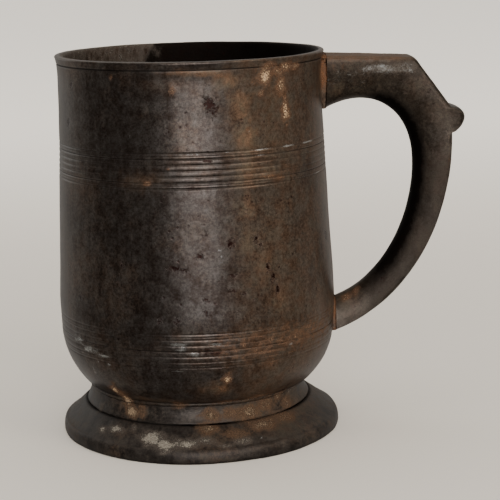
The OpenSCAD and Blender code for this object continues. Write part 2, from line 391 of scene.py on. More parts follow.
def makeFinish(name):
    look = finishes[name]
    material = bpy.data.materials.new(name)
    material.use_nodes = True
    tree = material.node_tree
    shader = tree.nodes["Principled BSDF"]
    place = tree.nodes.new("ShaderNodeTexCoord")
    inMm = addNode(tree, "ShaderNodeVectorMath", operation="SCALE")
    inMm.inputs["Scale"].default_value = 1000          # patterns are set in millimetres
    tree.links.new(place.outputs["Object"], inMm.inputs[0])
    vector = inMm.outputs["Vector"]
    marks = {}
    for mark in reliefOf:
        marks[mark] = addNode(tree, "ShaderNodeAttribute", attribute_name=mark).outputs["Fac"]
    patina = placeGroup(tree, "patina", vector, marks["stain"], Dark=look["dark"], Grey=look["grey"],
                        Brown=look["brown"])
    patina.inputs["Brown Amount"].default_value = look["brownAmount"]
    tree.links.new(marks["grimeAndShade"], patina.inputs["GrimeAndShade"])
    crust = placeGroup(tree, "crust", vector, marks["crust"], Pale=look["pale"], Rust=look["rust"])
    pits = placeGroup(tree, "pits", vector, marks["pit"], Spread=look["pitSpread"])
    scale = placeGroup(tree, "crust", vector, marks["scale"], Pale=shared["scalePale"],
                       Rust=shared["scaleRust"])
    wearAndSheen = placeGroup(tree, "wearAndSheen", vector, marks["wearAndSheen"])
    # bare metal where worn, and painted highlight where the handle's shoulder mask puts it
    color = blendOf(tree, mathOf(tree, "MULTIPLY", wearAndSheen.outputs["Mask"], 0.85),
                    patina.outputs["Color"], shared["bareMetal"])
    color = blendOf(tree, mathOf(tree, "MULTIPLY", pits.outputs["Mask"], 0.9), color, shared["pit"])
    color = blendOf(tree, scale.outputs["Mask"], color, scale.outputs["Color"])
    color = blendOf(tree, crust.outputs["Mask"], color, crust.outputs["Color"])
    crusty = mathOf(tree, "MAXIMUM", crust.outputs["Mask"], scale.outputs["Mask"])
    tree.links.new(color, shader.inputs["Base Color"])
    dull = mathOf(tree, "MAXIMUM", crusty, mathOf(tree, "MULTIPLY", patina.outputs["Brownness"], 0.75))
    metal = mathOf(tree, "MULTIPLY", mathOf(tree, "SUBTRACT", 1.0, dull), look["metal"], True)
    black = mathOf(tree, "MAXIMUM", pits.outputs["Mask"], patina.outputs["DirtAndShade"])      # black oxide and painted shade, no sheen
    black = mathOf(tree, "MULTIPLY", black, mathOf(tree, "SUBTRACT", 0.96, crusty), True)
    metal = mathOf(tree, "MAXIMUM", metal, black)
    tree.links.new(metal, shader.inputs["Metallic"])
    rough = mathOf(tree, "ADD", patina.outputs["Roughness"], mathOf(tree, "MULTIPLY", crusty, 0.4))
    rough = mathOf(tree, "ADD", rough, look["duller"])
    rough = mathOf(tree, "SUBTRACT", rough, mathOf(tree, "MULTIPLY", wearAndSheen.outputs["Mask"], 0.1), True)
    tree.links.new(rough, shader.inputs["Roughness"])
    crumbs = mathOf(tree, "ADD", crust.outputs["Height"], scale.outputs["Height"])
    height = sumOf(tree, (patina.outputs["Height"], look["bump"]), (crumbs, shared["crumbRelief"]))
    sunk = mathOf(tree, "MULTIPLY", pits.outputs["Mask"], shared["pitRelief"])
    height = mathOf(tree, "SUBTRACT", height, sunk)
    bump = addNode(tree, "ShaderNodeBump", {"Strength": 1.0, "Distance": mm})
    tree.links.new(height, bump.inputs["Height"])
    tree.links.new(bump.outputs["Normal"], shader.inputs["Normal"])
    return material


materials = {name: makeFinish(name) for name in finishes}
print("materials made:", len(materials))


# Marks on the walls: angle round the axis from the handle, height, half width, half height, strength.
marksOnWall = {
    "crust": [
        (-58, 119.6, 2.6, 3, 1), (-56.5, 122.8, 3.2, 1.2, 0.6), (-47, 121.8, 3.2, 1.4, 0.85),
        (-51, 120.5, 3, 1.6, 0.75), (-49.5, 116.2, 2.2, 3.2, 0.8), (-47.5, 112, 1, 2.8, 0.65),
        (-47.3, 107.8, 1.6, 3, 1), (-41, 121.5, 2.4, 1.5, 0.7), (-60, 114.6, 1.1, 1.2, 0.8),
        (-77, 120.6, 3, 0.9, 0.55), (-84, 121.2, 5, 0.7, 0.42), (-96, 121.8, 5.5, 0.5, 0.35),
        (-124, 120.4, 0.8, 0.8, 0.6), (-97.5, 116.4, 0.8, 1, 0.85), (-98, 118.6, 0.5, 0.5, 0.5),
        (-66.5, 104.2, 0.6, 0.5, 0.8), (-65.5, 106.4, 0.5, 0.6, 0.7), (-109, 88.2, 1.2, 0.7, 0.7),
        (-58, 88.9, 3.2, 0.6, 0.6), (-52, 88, 2.4, 0.8, 0.5), (-100, 92.8, 0.6, 0.5, 0.6),
        (-62, 92, 2, 0.6, 0.35), (-79, 26.4, 1.5, 1.5, 0.95), (-80.5, 23, 1.6, 1.3, 0.5),
        (-62, 34, 5, 0.7, 0.6), (-52, 35.6, 4, 0.6, 0.5), (-42, 36.6, 4, 1.2, 0.4), (-30, 38, 4, 2, 0.4),
        (-60, 30, 3, 2.5, 0.35), (-133, 20.2, 1.9, 1.8, 1), (-129, 16.6, 1.9, 2.6, 1.1),
        (-126, 13, 2.4, 2.2, 1.1), (-119.5, 13.4, 1.2, 2.2, 0.7), (-100, 16.6, 2.6, 1.4, 0.6),
        (-84, 12.6, 2.8, 2.2, 0.85), (-74, 12.8, 2.8, 2, 0.7), (-64, 12.4, 5, 2.4, 0.8),
        (-54, 13.6, 4, 2.2, 0.75), (-45, 15.4, 2.4, 2, 0.75), (-60, 17.4, 6, 0.8, 0.7),
        (-76, 17.2, 5, 0.7, 0.6), (-38, 12, 3, 2.4, 0.7), (-86, 9.2, 3.6, 1.2, 0.85),
        (-60, 8.6, 6, 1.5, 0.8), (-46, 9, 5, 1.4, 0.65), (-74, 7.6, 5, 1.2, 0.6)],
    "stain": [
        (-74, 119, 4.5, 3, 0.85), (-69.5, 111, 4.5, 6.5, 0.85), (-67, 101, 4.8, 7, 0.85),
        (-67, 90, 4.6, 6.5, 0.85), (-68, 80, 4.4, 7, 0.8), (-68, 70, 4, 7, 0.75), (-52, 114, 8, 7, 0.55),
        (-56, 98, 9, 9, 0.55), (-58, 90, 10, 4, 0.7), (-50, 80, 10, 12, 0.5), (-62, 62, 6, 9, 0.62),
        (-57, 50, 7, 8, 0.66), (-40, 60, 8, 20, 0.45), (-50, 38, 12, 4.5, 0.7), (-62, 30, 12, 5, 0.55),
        (-62, 13, 13, 4, 0.8), (-82, 23, 6, 3, 0.6), (-18, 40, 8, 7, 0.6), (-18, 108, 5, 12, 0.6),
        (-12, 116, 3, 7, 0.95), (-85, 121.6, 9, 1, 0.8), (-112, 89, 7, 2.2, 0.4), (-100, 118, 9, 2, 0.25),
        (-52, 7, 12, 3, 0.7), (-129, 16, 2.6, 5, 0.8), (-110, 17.5, 18, 1.4, 0.5), (40, 108, 8, 12, 0.7),
        (100, 60, 9, 20, 0.55), (150, 98, 8, 14, 0.6), (70, 30, 13, 6, 0.6), (120, 10, 14, 5, 0.7)],
    "pit": [
        (-82, 112, 1.9, 2, 0.95), (-80.5, 109.2, 0.9, 2, 0.7), (-84, 114.5, 1.9, 0.9, 0.5),
        (-97.5, 62.2, 2.3, 1.1, 0.9), (-94.5, 61.6, 1.5, 0.9, 0.6), (-88.5, 65.8, 1.8, 1, 0.8),
        (-85.5, 73, 1.2, 1.1, 0.5), (-76, 69.4, 1.6, 1.7, 0.85), (-73.5, 70.8, 1.2, 0.9, 0.6),
        (-65.5, 70.2, 1.1, 1.5, 0.75), (-63.5, 68, 0.8, 1, 0.7), (-75, 59.4, 2, 0.8, 0.75),
        (-76, 54.8, 2.1, 1.1, 0.6), (-72, 53.4, 1.5, 0.9, 0.5), (-60.5, 60.6, 0.8, 2, 0.8),
        (-58.5, 57.4, 0.9, 2.3, 0.85), (-57, 53.2, 1.2, 2, 0.75), (-98, 46, 1.6, 1.4, 0.7),
        (-87, 52.6, 1.2, 0.8, 0.55), (-87, 48.4, 0.8, 1.4, 0.5), (-74.5, 47, 0.9, 2.8, 0.5),
        (-128, 62, 1.1, 0.9, 0.7), (-121, 63, 0.9, 0.9, 0.7), (-123, 57, 1.7, 0.9, 0.6),
        (-150, 117.4, 0.9, 1, 0.9), (-154, 104.8, 0.8, 1.7, 0.9), (-145, 50, 1.5, 1.4, 0.6),
        (-105, 46, 1.8, 1.1, 0.5), (-84, 35.4, 3.6, 1, 0.8), (-87, 36.6, 2.4, 0.9, 0.6),
        (-84.5, 95.2, 1.7, 0.7, 0.7), (-90, 86.8, 1.8, 0.7, 0.6), (-69, 83.2, 0.5, 0.6, 0.7),
        (-69, 79, 0.8, 1.1, 0.65), (-64.5, 104.6, 0.6, 0.6, 0.8), (-20, 66, 1.5, 1.8, 0.7),
        (-45, 17, 1.9, 2.8, 0.8), (50, 70, 2.1, 1.8, 0.8), (80, 108, 1.9, 2, 0.9),
        (125, 56, 2.4, 1.7, 0.8), (160, 74, 1.7, 1.9, 0.8), (-175, 60, 1.5, 1.7, 0.7)],
    "wearAndSheen": [
        (-140, 33.8, 5, 1.2, 0.85), (-132, 32.6, 3.4, 0.8, 0.85), (-148, 36, 3.6, 2.2, 0.75),
        (-130, 30, 1.1, 0.6, 0.85), (-136, 30.2, 0.8, 0.8, 0.85), (-146, 31.8, 1.8, 1.2, 0.65),
        (-150, 39, 3, 2.6, 0.6), (-141, 26, 1.4, 4, 0.6), (-98, 38.4, 4, 0.7, 0.9),
        (-97, 36.6, 2.6, 0.8, 0.9), (-92, 35.2, 3, 1.2, 0.75), (-83, 38.2, 4, 0.6, 0.8),
        (-74, 39, 3, 0.5, 0.5), (-95, 34.8, 1, 1.6, 0.5), (-100, 29.6, 5, 0.35, 0.75),
        (-90, 31.2, 6, 0.35, 0.6), (-91, 97.2, 7, 0.35, 0.6), (-76, 97.4, 4, 0.35, 0.6),
        (-60, 97.4, 5, 0.4, 0.8), (-47, 97.4, 5, 0.4, 0.8), (-33, 97.4, 5, 0.4, 0.85),
        (-62, 95.6, 4, 0.4, 0.65), (-48, 95.6, 4, 0.35, 0.5), (-38, 86.8, 4, 0.35, 0.7),
        (-25, 86.8, 5, 0.4, 0.8), (-80.5, 67.4, 0.6, 0.6, 1), (-79.6, 65.8, 0.4, 0.9, 1),
        (-78.6, 64.6, 0.4, 0.4, 1), (-80.6, 63.4, 0.5, 0.4, 1), (-84.5, 51, 0.9, 1.4, 0.6),
        (-116, 102.6, 0.4, 0.9, 0.9), (-53.5, 102.6, 0.4, 0.4, 0.9), (-66, 103.2, 0.5, 0.6, 0.7),
        (-37, 78, 0.3, 0.9, 0.7), (-26, 84, 0.3, 1.2, 0.7), (-88, 106, 4, 3, 0.3),
        (-28, 52, 0.5, 5, 0.55), (-24, 50, 0.5, 6, 0.5), (-20, 53, 0.5, 5, 0.5), (-50, 35, 1, 0.6, 0.9),
        (-64, 5.8, 0.8, 0.4, 0.9), (-38, 15.8, 1.2, 1.4, 0.6), (60, 34.6, 8, 1, 0.7),
        (120, 97.4, 9, 0.4, 0.8), (150, 31.6, 6, 0.9, 0.6)],
    "scale": [
        (-139, 6.8, 1.8, 1, 1), (-131, 7.6, 3, 0.9, 1.1), (-112, 6.8, 4.2, 1.6, 1.2),
        (-105, 5.4, 3.6, 1.6, 1.2), (-96, 5.8, 4.2, 1.2, 1.05), (-88, 6.4, 3, 0.9, 0.85),
        (-72, 5.8, 3.6, 0.9, 0.8), (-80, 5, 2.4, 0.6, 0.8), (-150, 11, 1.4, 2, 0.6),
        (-122, 8.6, 1.4, 1, 0.7), (-34, 16, 1.6, 2, 0.7), (60, 6.2, 4, 1, 0.8),
        (140, 5.8, 3.6, 1.2, 0.7)],
}


def smooth(value, low, high):
    t = np.clip((value - low) / (high - low), 0, 1)
    return t * t * (3 - 2 * t)


def noiseOver(points, *scales):
    # summed noise, each scale given as (frequency per mm, strength)
    vectors = [Vector(p) for p in points]
    total = np.zeros(len(points))
    for frequency, strength in scales:
        total += strength * np.array([noise.noise(v * frequency) for v in vectors])
    return total


def wallMasks(points):
    # how strongly each kind of mark covers each point, with ragged edges
    angle = np.degrees(np.arctan2(points[:, 1], points[:, 0]))
    radius = np.hypot(points[:, 0], points[:, 1])
    ragged = noiseOver(points, (0.45, 1.0), (1.3, 0.6))
    masks = {}
    for kind, entries in marksOnWall.items():
        mask = np.zeros(len(points))
        for at, height, halfWidth, halfHeight, strength in entries:
            turn = (angle - at + 180) % 360 - 180
            reach = np.hypot(np.radians(turn) * radius / halfWidth, (points[:, 2] - height) / halfHeight)
            mask = np.maximum(mask, strength * np.exp(-0.9 * (reach * (1 + 0.5 * ragged)) ** 2))
        masks[kind] = mask
    return masks


def atLeast(masks, kind, value):
    masks[kind] = np.maximum(masks[kind], value)


def weather(bm, amount=1.0, marks=None):
    # uneven casting, old knocks, crust and pits pushed into the surface along its normals
    layers = {kind: bm.verts.layers.float.new(kind) for kind in reliefOf}
    bm.normal_update()
    verts = list(bm.verts)
    points = np.array([v.co for v in verts]) / mm
    normals = np.array([v.normal for v in verts])
    push = amount * noiseOver(points, (0.05, 0.11), (0.16, 0.045), (0.55, 0.02), (1.6, 0.01))
    masks = marks(points) if marks else {}
    lumps = 0.75 + noiseOver(points, (0.9, 0.6)) if marks else 1.0
    for kind, mask in masks.items():
        push = push + reliefOf[kind] * mask * lumps
    for vert, place in zip(verts, points + normals * push[:, None]):
        vert.co = place * mm
    for kind, mask in masks.items():
        layer = layers[kind]
        for vert, value in zip(verts, mask.tolist()):
            vert[layer] = value


# The old body is a little out of true: its shift along x at each height, and how oval it has become.
leaning = {0: 0.5, 4: 0.35, 9: -0.3, 12: -0.6, 15: -0.35, 17.5: 0.25, 24: 0.4, 34: 0.25, 52: 0.3,
           72: 0.07, 94: 0.1, 107: -0.1, 125: 0.0}
ovalness = {"share": 0.0035, "turn": 0.8, "full": 60}


def lean(bm):
    heights, shifts = list(leaning), list(leaning.values())
    for v in bm.verts:
        z = v.co.z / mm
        angle = math.atan2(v.co.y, v.co.x)
        oval = 1 + ovalness["share"] * math.cos(2 * angle + ovalness["turn"]) * min(1, z / ovalness["full"])
        v.co.x = v.co.x * oval + np.interp(z, heights, shifts) * mm
        v.co.y = v.co.y * oval


def spun(outline, steps):
    # an outline of (radius, height) points in millimetres, turned once round the axis
    bm = bmesh.new()
    verts = [bm.verts.new((r * mm, 0, z * mm)) for r, z in outline]
    edges = [bm.edges.new(pair) for pair in zip(verts, verts[1:] + verts[:1])]
    bmesh.ops.spin(bm, geom=verts + edges, cent=(0, 0, 0), axis=(0, 0, 1), dvec=(0, 0, 0),
                   angle=math.tau, steps=steps, use_merge=True, use_duplicate=False)
    bmesh.ops.remove_doubles(bm, verts=bm.verts, dist=mm * 0.002)
    bmesh.ops.recalc_face_normals(bm, faces=bm.faces)
    return bm


def finishPiece(bm, name, material, nodes, smoothAngle=None):
    mesh = bpy.data.meshes.new(name)
    bm.to_mesh(mesh)
    bm.free()
    for polygon in mesh.polygons:
        polygon.use_smooth = True
    if smoothAngle:
        mesh.set_sharp_from_angle(angle=math.radians(smoothAngle))
    piece = addObject(name, mesh)
    mesh.materials.append(materials[material])
    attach(piece, "root")
    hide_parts(*nodes)
    print("made", name, len(mesh.polygons), "faces")


bodyForm = {
    "neckRadius": 42.8, "bellyRadius": 45.6, "taperTop": 108, "taperPower": 1.05, "bellyHeight": 45,
    "bellyDrop": 0.25, "turnInHeight": 36, "turnInArc": 26, "lipDepth": 9, "lipFlare": 0.8, "wall": 2.0,
}
reeding = {"count": 7, "pitch": 1.8, "depth": 0.38, "lowerDepth": 0.25, "upperMiddle": 92.0}


def bodyRadius(z):
    f = bodyForm
    if z >= f["bellyHeight"]:
        share = max(0, f["taperTop"] - z) / (f["taperTop"] - f["bellyHeight"])
        radius = f["neckRadius"] + (f["bellyRadius"] - f["neckRadius"]) * share ** f["taperPower"]
        lipStart = rimZ - f["lipDepth"]
        return radius + f["lipFlare"] * max(0, (z - lipStart) / f["lipDepth"]) ** 3
    if z >= f["turnInHeight"]:
        share = (f["bellyHeight"] - z) / (f["bellyHeight"] - f["turnInHeight"])
        return f["bellyRadius"] - f["bellyDrop"] * (1 - math.cos(share * math.pi / 2))
    arc = f["turnInArc"]
    return f["bellyRadius"] - f["bellyDrop"] - arc + math.sqrt(arc ** 2 - (f["turnInHeight"] - z) ** 2)


def reedDepth(z, middle):
    # rounded reeds between cut grooves; the two outer reeds carry an extra fine line
    half = (reeding["count"] - 1) * reeding["pitch"] / 2
    full = reeding["depth"] if middle > seamZ else reeding["lowerDepth"]       # the lower band is more worn
    offset = z - (middle - half)
    if offset < -0.5 or offset > 2 * half + 0.5:
        return 0
    place = offset / reeding["pitch"]
    near = abs(place - round(place)) * 2                     # 0 in a groove, 1 on a reed's crown
    depth = full * (1 - math.sqrt(max(0, 1 - (1 - near) ** 3)))
    if 0 < place < 1 or reeding["count"] - 2 < place < reeding["count"] - 1:
        depth = max(depth, 0.42 * full * max(0, 1 - abs(near - 1) * 4))
    if offset < 0 or offset > 2 * half:
        outside = min(abs(offset), abs(offset - 2 * half))
        depth = full * max(0, 1 - outside / 0.4) ** 1.5
    return depth


def wallLine(low, high, step, middle=None):
    count = max(2, round((high - low) / step))
    heights = [low + (high - low) * i / count for i in range(count + 1)]
    return [(bodyRadius(z) - (reedDepth(z, middle) if middle else 0), z) for z in heights]


upperHalf = (reeding["count"] - 1) * reeding["pitch"] / 2 + 0.6
roundSteps = 360

# Where the body is dirty, scaly, worn or darkened with painted shade: angles from the handle, heights,
# strengths.
bodyWear = {
    "skin": 0.9, "scalyMiddle": 188, "scalyReach": (86, 76), "insideShadeMiddle": 40, "insideShadeReach": (100, 66),
    "ledgeDrop": 2.5, "ledgeGrime": 0.75, "waistShade": 0.5, "reedGrime": 1.1, "insideGrime": 0.25,
    "insideShadeStrength": 1.3, "insideStain": 0.30, "crownWear": 0.22, "rimWear": 0.36,
}


def bodyMasks(points):
    # outside: the marks, dirt in the reeds and painted shade under the bowl; inside: pale scale on one side,
    # painted shade in black on the other
    radius = np.hypot(points[:, 0], points[:, 1])
    angle = np.degrees(np.arctan2(points[:, 1], points[:, 0]))
    height = points[:, 2]
    grid = np.linspace(waistZ, rimZ, 2200)
    wallR = np.interp(height, grid, [bodyRadius(z) for z in grid])
    w, middles = bodyWear, (seamZ, reeding["upperMiddle"])
    cut = np.interp(height, grid, [max(reedDepth(z, middle) for middle in middles) for z in grid])
    outside = (radius > wallR - w["skin"]) * 1.0
    inside = (radius < wallR - 1.3) * 1.0
    masks = {kind: mask * outside for kind, mask in wallMasks(points).items()}
    ragged = noiseOver(points, (0.12, 5.0), (0.35, 5.0))
    flecks = noiseOver(points, (0.7, 0.8), (1.4, 0.7))
    scaly = smooth(np.abs((angle - w["scalyMiddle"] + 180) % 360 - 180) + ragged, *w["scalyReach"]) * inside
    # painted shade: black over the inner wall away from the scale, strongest near the top
    insideShade = smooth(np.abs(angle - w["insideShadeMiddle"]), *w["insideShadeReach"]) * inside * (1 - scaly)
    insideShade = insideShade * (0.3 + 0.7 * smooth(height, 55, 100))
    ledge = np.exp(-((height - rimZ + w["ledgeDrop"]) / 0.28) ** 2) * outside
    # painted shade on the underside of the bowl, just above the collar
    waist = w["waistShade"] * smooth(height, waistZ + 2.0, waistZ) * outside
    grooves = w["reedGrime"] * (cut / reeding["depth"]) ** 2.2 * outside
    masks["grimeAndShade"] = np.clip(grooves + w["ledgeGrime"] * ledge + waist + w["insideShadeStrength"] * insideShade
                             + w["insideGrime"] * inside, 0, 1)
    sides = smooth(angle, -84, -66) * smooth(angle, 30, 5) + smooth(angle, 70, 95) * smooth(angle, 150, 130)
    sides = sides * (0.42 + 0.10 * noiseOver(points, (0.04, 1.0))) * outside
    atLeast(masks, "stain", np.maximum(sides, w["insideStain"] * inside))
    atLeast(masks, "scale", np.clip(0.42 + 0.5 * flecks, 0, 1) * scaly)
    rusty = np.exp(-((height - seamZ - 1) / 6.5) ** 2) * outside
    rusty = rusty * smooth(angle, -98, -74) * smooth(angle, -4, -30)
    atLeast(masks, "crust", np.clip(0.34 + 0.42 * flecks, 0, 0.66) * rusty)
    banded = np.min([np.abs(height - middle) for middle in middles], axis=0) < 6
    crown = smooth(cut, 0.05, 0.0) * banded
    atLeast(masks, "wearAndSheen", w["crownWear"] * crown * outside)
    rimTop = smooth(height, rimZ - 0.8, rimZ - 0.3)
    atLeast(masks, "wearAndSheen", w["rimWear"] * rimTop)
    return masks


def makeDrum():
    wall = bodyForm["wall"]
    middle = reeding["upperMiddle"]
    outside = wallLine(seamZ, seamZ + upperHalf, 0.22, seamZ)
    outside += wallLine(seamZ + upperHalf + 0.6, middle - upperHalf - 0.6, 1.0)
    outside += wallLine(middle - upperHalf, middle + upperHalf, 0.22, middle)
    outside += wallLine(middle + upperHalf + 0.6, rimZ - 4.0, 0.9)
    outside += [(bodyRadius(z) - (0.16 if abs(z - rimZ + 2.5) < 0.2 else 0), z)
                for z in (rimZ - 3.4, rimZ - 2.9, rimZ - 2.5, rimZ - 2.1, rimZ - 1.6, rimZ - 1.0)]
    lipR = bodyRadius(rimZ)
    innerR = bodyForm["neckRadius"] - wall
    rim = [(lipR, rimZ - 0.45), (lipR - 0.18, rimZ - 0.15), (lipR - 0.5, rimZ), (lipR - 1.2, rimZ - 0.02),
           (innerR + 0.5, rimZ - 0.06), (innerR + 0.12, rimZ - 0.3), (innerR, rimZ - 0.8)]
    lapR = bodyRadius(seamZ) - wall
    inside = [(min(bodyRadius(z), bodyRadius(rimZ - 9)) - wall if z > rimZ - 9 else bodyRadius(z) - wall, z)
              for z in np.linspace(rimZ - 2, seamZ + 7.8, 46)]
    lap = [(lapR, seamZ + 3.8), (lapR + wall / 2, seamZ + 3.8), (lapR + wall / 2, seamZ)]
    bm = spun(outside + rim + inside + lap, roundSteps)
    weather(bm, 1.0, bodyMasks)
    lean(bm)
    finishPiece(bm, "drumShell", "bodyPewter", ["drum"])


def makeBowl():
    wall = bodyForm["wall"]
    outside = wallLine(waistZ, seamZ - upperHalf - 0.4, 0.6)
    outside += wallLine(seamZ - upperHalf, seamZ, 0.22, seamZ)
    lapR = bodyRadius(seamZ) - wall
    lap = [(lapR + wall / 2, seamZ), (lapR + wall / 2, seamZ + 3), (lapR, seamZ + 3), (lapR, seamZ - 2)]
    topOfFloor = floorHigh.z
    inside = [(bodyRadius(z) - wall * (1 + 0.3 * (seamZ - 4 - z) / (seamZ - 5.5 - topOfFloor)), z)
              for z in np.linspace(seamZ - 4, topOfFloor + 1.5, 16)]
    floorR = floorHigh.x
    pocket = [(floorR + 1.8, topOfFloor), (floorR + 0.2, floorLow.z), (floorR - 2.6, floorLow.z),
              (floorR - 2.6, waistZ)]
    bm = spun(outside + lap + inside + pocket, roundSteps)
    weather(bm, 1.0, bodyMasks)
    lean(bm)
    finishPiece(bm, "bowlShell", "bodyPewter", ["bowl"])


floorDisc = {"rings": 34, "ripple": 0.05, "rippleTurn": 1.9, "edge": 0.1, "steps": 180, "uneven": 1.4}


def makeFloorDisc():
    f, low, high, radius = floorDisc, floorLow.z, floorHigh.z, floorHigh.x
    top = [(radius * i / f["rings"], high - f["ripple"] * math.cos(i * f["rippleTurn"]) * (i % 3 == 0))
           for i in range(f["rings"] - 1, -1, -1)]
    side = [(radius, low + f["edge"]), (radius, high - f["edge"])]
    bm = spun(side + top + [(0, low), (radius - 2 * f["edge"], low)], f["steps"])
    weather(bm, f["uneven"])
    finishPiece(bm, "floorDisc", "insidePewter", ["base_plate"])


collar = {
    "bore": 33.2, "spigot": 34.6, "waist": 35.9, "skin": 35.0, "uneven": 1.6,
    "beadOut": 0.72, "beadUp": 0.62, "beadDrop": 0.75,      # the bead under the bowl
    "flare": 1.5, "flarePower": 2.2, "skirt": 1.2,          # the neck opens towards the foot
}


def collarMasks(points):
    outside = (np.hypot(points[:, 0], points[:, 1]) > collar["skin"]) * 1.0
    masks = {kind: mask * outside for kind, mask in wallMasks(points).items()}
    top = collarHigh.z
    # painted shade at the joins: the undercut above the foot, the line below the bead and the edge under the
    # bowl; the bore inside is darkened too
    shadedJoins = [(footTopZ, 0.6, 0.45), (top - 1.55, 0.25, 0.6), (top, 0.4, 0.6)]       # height, reach, strength
    masks["grimeAndShade"] = sum(deep * np.exp(-((points[:, 2] - z) / reach) ** 2) for z, reach, deep in shadedJoins)
    masks["grimeAndShade"] = np.clip(masks["grimeAndShade"] + 0.7 * (1 - outside), 0, 1)
    return masks


def makeCollar():
    c, top, waistR = collar, collarHigh.z, collar["waist"]
    bead = [(waistR + 0.05 + c["beadOut"] * math.cos(math.radians(a)),
             top - c["beadDrop"] + c["beadUp"] * math.sin(math.radians(a))) for a in range(-90, 91, 15)]
    neck = [(waistR - 0.2 + c["flare"] * (1 - t) ** c["flarePower"],
             footTopZ + 0.35 + (top - 2.0 - footTopZ) * t) for t in np.linspace(0, 1, 12)]
    line = [(waistR - 0.22, top - 1.6), (waistR + 0.12, top - 1.45)]
    skirt = [(c["spigot"], collarLow.z), (c["spigot"], footTopZ), (waistR + 0.8, footTopZ),
             (waistR + c["skirt"], footTopZ + 0.12)]
    inside = [(waistR - 0.6, top), (c["bore"], top)]
    inside += [(c["bore"], z) for z in np.linspace(top - 2, collarLow.z, 5)]
    bm = spun(skirt + neck + line + bead + inside, roundSteps)
    weather(bm, c["uneven"], collarMasks)
    lean(bm)
    finishPiece(bm, "footCollar", "footPewter", ["foot_collar"])


foot = {
    "proud": 0.3, "edge": 1.6, "shoulderIn": 1.5, "shoulderZ": 4.6, "sag": 0.02, "seat": 37.6,
    "bore": 34.6, "hollow": [(34.6, 7.8), (36.0, 6.7), (40.0, 4.8)], "ringIn": 3.2,
    "knock": 0.45, "knockDepth": 5, "uneven": 1.8,
}


def flangeMasks(points):
    radius = np.hypot(points[:, 0], points[:, 1])
    outside = (points[:, 2] > 0.35) * (radius > 37.2)
    masks = {kind: mask * outside for kind, mask in wallMasks(points).items()}
    # painted shade where the foot meets the collar, darker towards the bottom edge, and a little grime all
    # over
    masks["grimeAndShade"] = np.clip(0.4 * smooth(radius, 38.4, 37.4) + 0.5 * smooth(points[:, 2], 1.2, 0.2)
                             + 0.22 * outside, 0, 1)
    return masks


def makeFlange():
    f, edge, innerR = foot, foot["edge"], foot["seat"]
    outerR = footRadius + f["proud"]
    slopeR, slopeZ = outerR - f["shoulderIn"], f["shoulderZ"]
    side = [(outerR - 0.5, 0.0), (outerR - 0.18, 0.25), (outerR, 0.9), (outerR, edge)]
    turn = [(slopeR + (outerR - slopeR) * math.cos(math.radians(a)),
             edge + (slopeZ - edge) * math.sin(math.radians(a))) for a in range(12, 91, 13)]
    slope = [(slopeR + (innerR + 0.5 - slopeR) * t,
              slopeZ + (footTopZ - 0.15 - slopeZ) * (t - f["sag"] * math.sin(math.pi * t)))
             for t in np.linspace(0.07, 1, 14)]
    top = [(innerR + 0.1, footTopZ - 0.02), (innerR - 0.5, footTopZ - 0.05), (36.6, footTopZ - 0.5),
           (f["bore"], footTopZ - 0.5)]
    ring = [(footRadius - f["ringIn"], 2.6), (footRadius - 2.6, 1.2), (footRadius - 2.4, 0.3),
            (footRadius - 2.0, 0.0)]
    bm = spun(side + turn + slope + top + f["hollow"] + ring, roundSteps)
    weather(bm, f["uneven"], flangeMasks)
    for v in bm.verts:
        v.co.z = max(v.co.z, 0)
        down = smoothStep((footTopZ - v.co.z / mm) / f["knockDepth"])
        v.co.y -= f["knock"] * mm * down                    # the rim of the foot is knocked out of round
    lean(bm)
    finishPiece(bm, "footFlange", "footPewter", ["foot_flange"])


lapInner = bodyRadius(seamZ) - bodyForm["wall"]
floorR, floorZ = floorHigh.x, floorLow.z

# Each ring of solder: its CAD node and its section.
solderRings = {
    "seamSolder": ("drum_seam_solder", [
        (lapInner - 0.1, seamZ + 3.0), (lapInner + 0.9, seamZ + 3.0), (lapInner + 0.9, seamZ + 3.8),
        (lapInner - 0.1, seamZ + 3.8)]),
    "floorSolder": ("base_plate_solder", [
        (floorR, floorZ), (floorR + 0.2, floorZ), (floorR + 2.1, floorHigh.z + 0.3),
        (floorR - 0.4, floorHigh.z + 0.15)]),
    "collarSolder": ("collar_solder", [
        (31.9, waistZ), (32.4, waistZ - 0.6), (33.2, waistZ - 1.3), (33.3, waistZ)]),
    "footSolder": ("foot_solder", [(34.5, 6.7), (35.4, 6.75), (36.0, 6.8), (34.6, 7.9)]),
}


def makeSolderRing(name, node, outline):
    bm = spun(outline, 240)
    coarse = [e for e in bm.edges if abs(e.verts[0].co.z - e.verts[1].co.z) > 0.4 * mm
              or e.calc_length() > 1.2 * mm]
    bmesh.ops.subdivide_edges(bm, edges=coarse, cuts=1)
    weather(bm, 2.2)
    finishPiece(bm, name, "greySolder", [node])


handle = {
    "upperEnd": 44.1, "lowerEnd": 46.3, "topZ": rimZ - 2.25, "elbow": (71.6, rimZ - 3.3),
    "bevelEnd": (74.5, rimZ - 5.8), "nubStart": (84.5, 105.2), "nubEnd": (85.0, 96.7), "nubOut": 4.3,
    "outerBend": [(85.0, 96.7), (85.3, 60.5), (65.0, 38.0), (46.3, 31.4)],
    "archTop": [(44.1, 105.3), (59.2, 113.3), (73.6, 104.6), (72.6, 85.0)],
    "archFoot": [(72.6, 85.0), (72.0, 69.0), (64.0, 48.6), (46.3, 42.2)],
    "archSplit": 0.45, "topHalf": 7.6, "tipHalf": 5.6, "sides": 84, "uneven": 1.3,
}


def along(controls, t):
    a, b, c, d = (Vector(p) for p in controls)
    s = 1 - t
    return a * s ** 3 + b * 3 * s * s * t + c * 3 * s * t * t + d * t ** 3


def innerAt(t):
    # the line inside the bow; archSplit is where its two curves meet
    split = handle["archSplit"]
    if t < split:
        return along(handle["archTop"], t / split)
    return along(handle["archFoot"], (t - split) / (1 - split))


